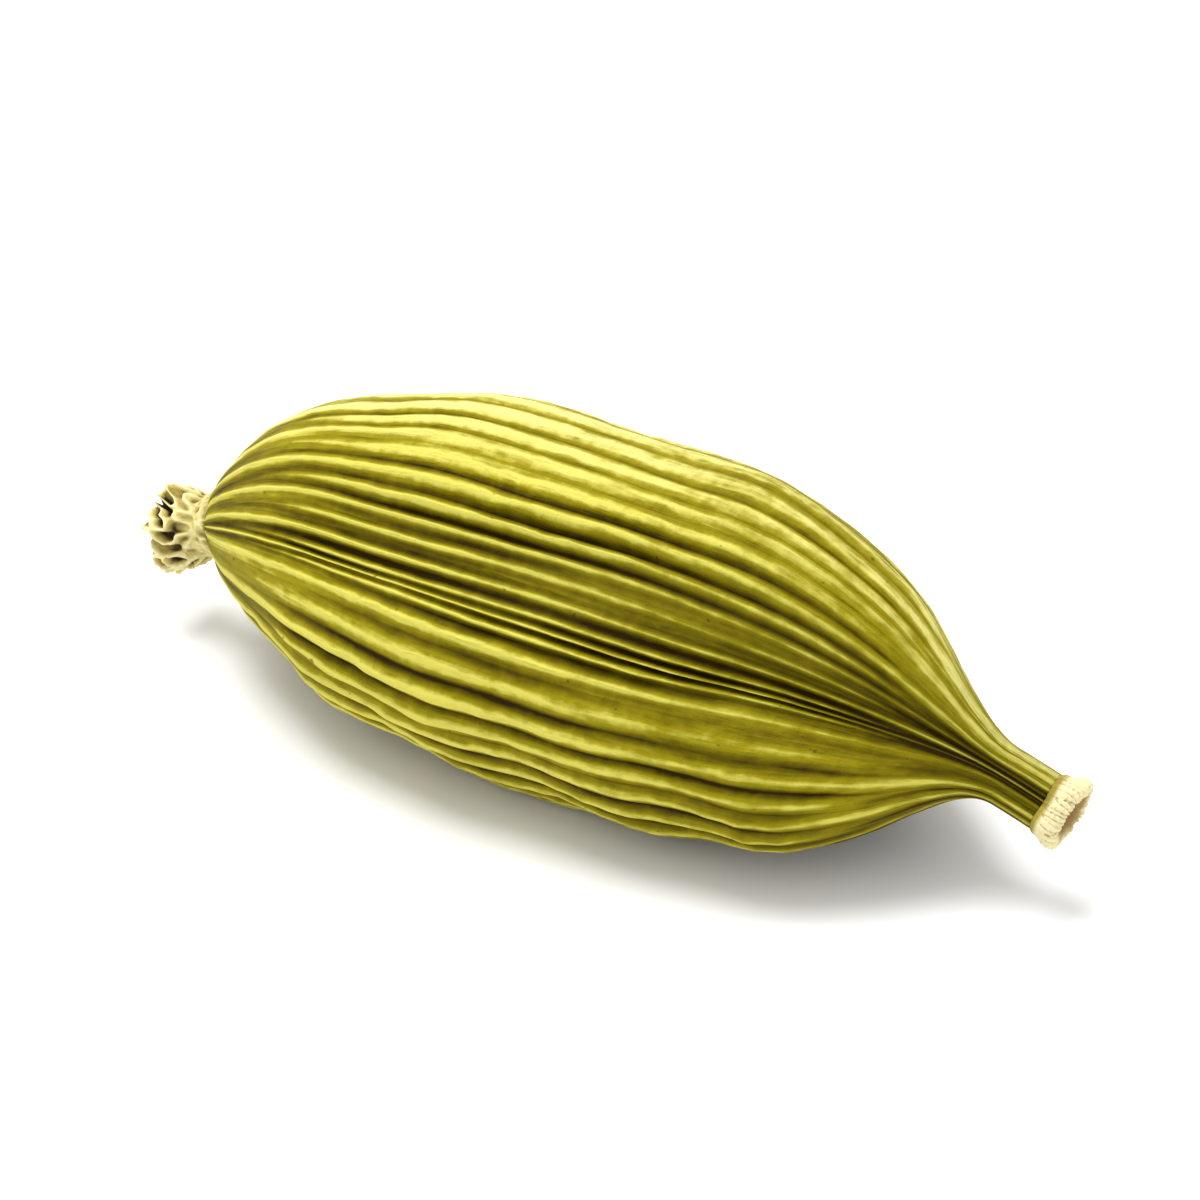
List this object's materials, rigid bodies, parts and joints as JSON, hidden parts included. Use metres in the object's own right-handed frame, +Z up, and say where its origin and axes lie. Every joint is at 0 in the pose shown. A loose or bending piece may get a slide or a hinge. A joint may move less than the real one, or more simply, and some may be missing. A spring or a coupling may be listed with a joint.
{
  "type": "green cardamom pod",
  "caption": "Dried green cardamom pod lying on its side: ribbed lobed husk narrowing to a drooping neck, with a pale broken stalk stub and a withered flower crown.",
  "frame": {"origin": "on the flat spot that the pod rests on, under the husk's widest place", "axes": "+X along the husk from the crown to the stalk, +Z up through the top lobe"},
  "size_m": [0.0212, 0.0076, 0.007],
  "materials": {
    "husk": "dry papery-leathery husk, yellow-green on the ribs and olive to brown in the grooves, soft low sheen",
    "stalk": "pale cream dry stalk fibre with a darker pith, matt",
    "crown": "straw-coloured withered flower tissue, brown in the folds, matt"
  },
  "bodies": {
    "root": {"husk": "husk", "stalk_stub": "stalk", "calyx_crown": "crown"}
  },
  "joints": []
}
